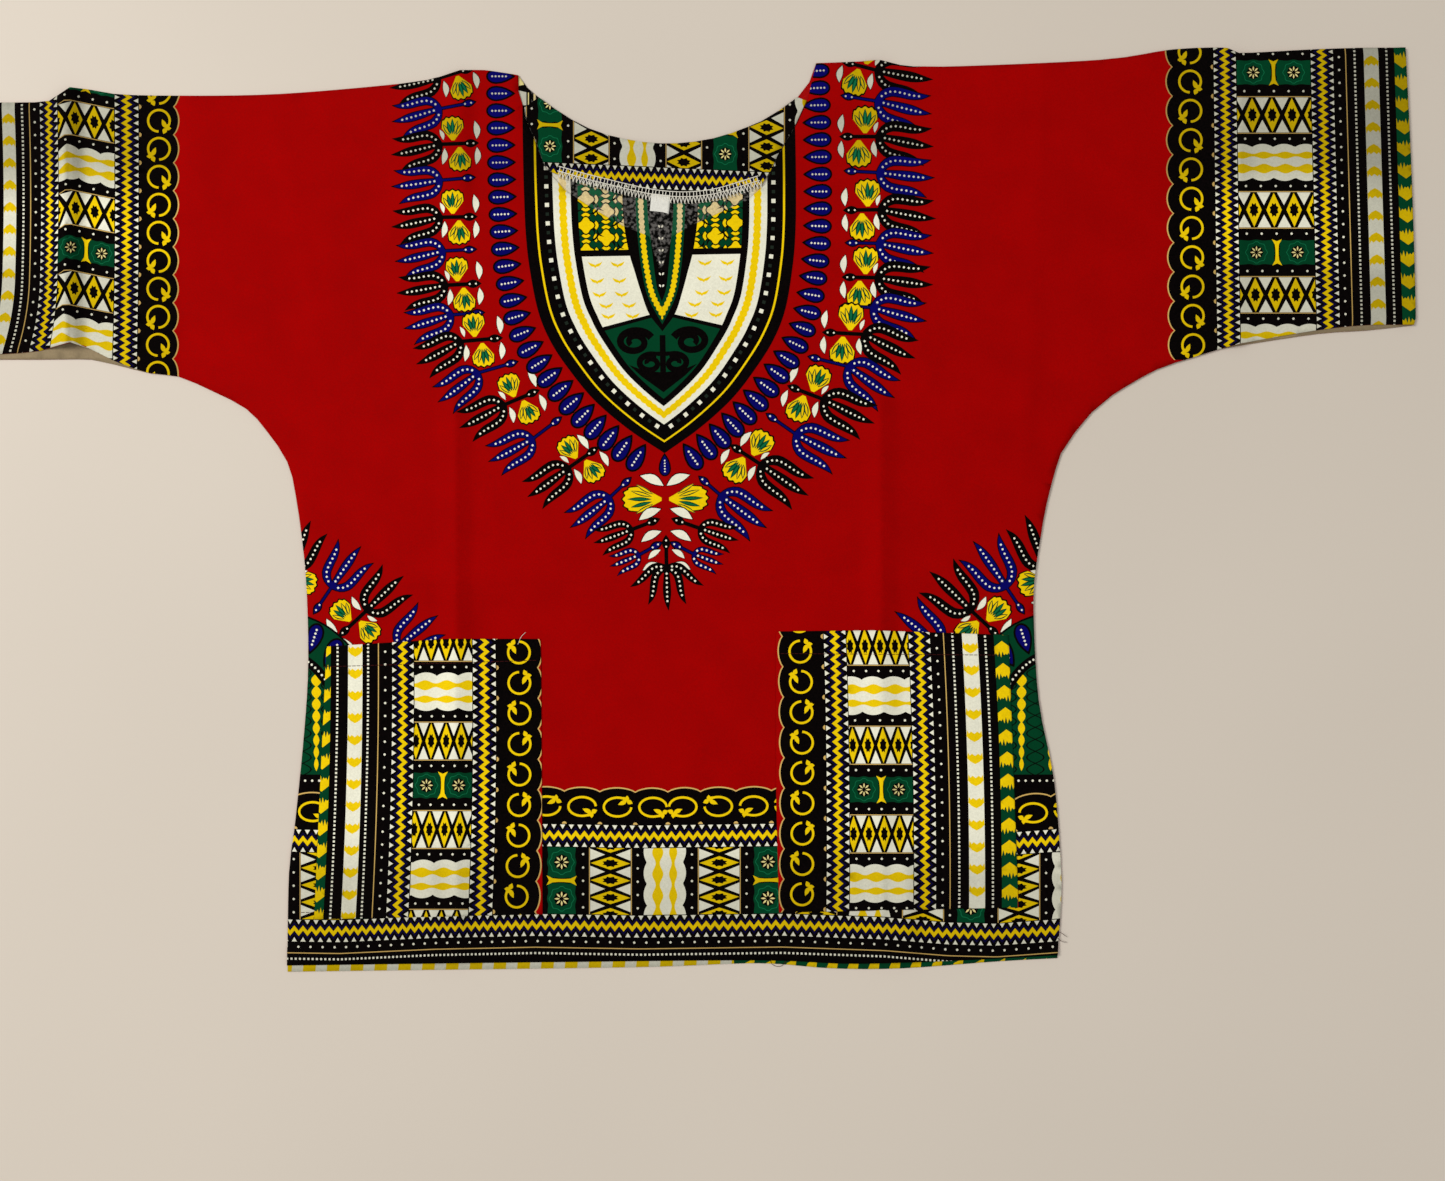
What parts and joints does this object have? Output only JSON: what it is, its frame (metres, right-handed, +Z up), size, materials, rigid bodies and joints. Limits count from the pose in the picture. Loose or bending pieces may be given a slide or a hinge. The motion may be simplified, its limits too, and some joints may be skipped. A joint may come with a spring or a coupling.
{
  "type": "dashiki shirt",
  "caption": "Child's loose cotton dashiki shirt laid out flat, with wide sleeves cut in one, a notched scoop neck, banded edges and patch pockets.",
  "frame": {"origin": "on the surface that the shirt lies on, under the middle of its bounding box", "axes": "+X towards the viewer's right, along the sleeves, +Y from the hem towards the neck, +Z up, out of the shirt's front"},
  "size_m": [0.846, 0.5401, 0.0093],
  "materials": {
    "back_cotton": "plain weave, matt, wrong side up inside the neck",
    "front_cotton": "plain weave, matt, printed",
    "facing_cotton": "plain weave, matt, printed",
    "pocket_cotton": "plain weave, matt, printed",
    "tab_tape": "woven tape"
  },
  "bodies": {
    "root": {"back_panel": "back_cotton", "front_panel": "front_cotton", "back_neck_facing": "facing_cotton", "left_pocket": "pocket_cotton", "right_pocket": "pocket_cotton", "size_tab": "tab_tape"}
  },
  "joints": []
}
